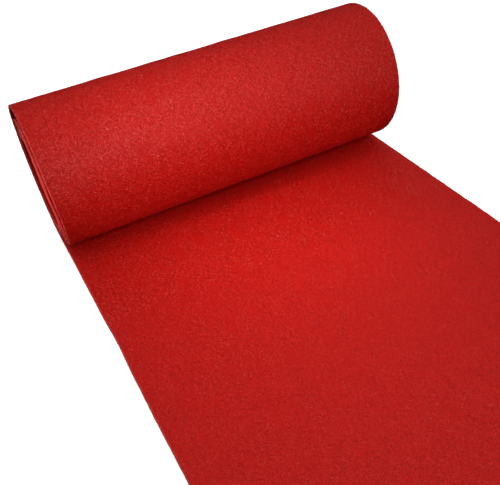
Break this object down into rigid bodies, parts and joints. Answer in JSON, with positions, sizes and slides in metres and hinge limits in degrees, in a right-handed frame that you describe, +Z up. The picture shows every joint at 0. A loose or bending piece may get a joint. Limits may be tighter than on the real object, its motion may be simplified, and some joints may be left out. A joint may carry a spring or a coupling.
{
  "type": "roll of felt",
  "caption": "Sheet of thick red felt wound loosely into an open roll that lies on its side, with a loose length running out flat from under it.",
  "frame": {"origin": "centre of the bounding box at its bottom, on the flat underside of the loose length", "axes": "+X along the roll's axis, +Y from the loose length's cut end toward the roll, +Z up"},
  "size_m": [0.3018, 0.4614, 0.1155],
  "materials": {
    "red_felt": "matt needled felt, plain dyed, with short fibres standing on both faces and clean cut edges"
  },
  "bodies": {
    "root": {"felt_roll": "red_felt"}
  },
  "joints": []
}
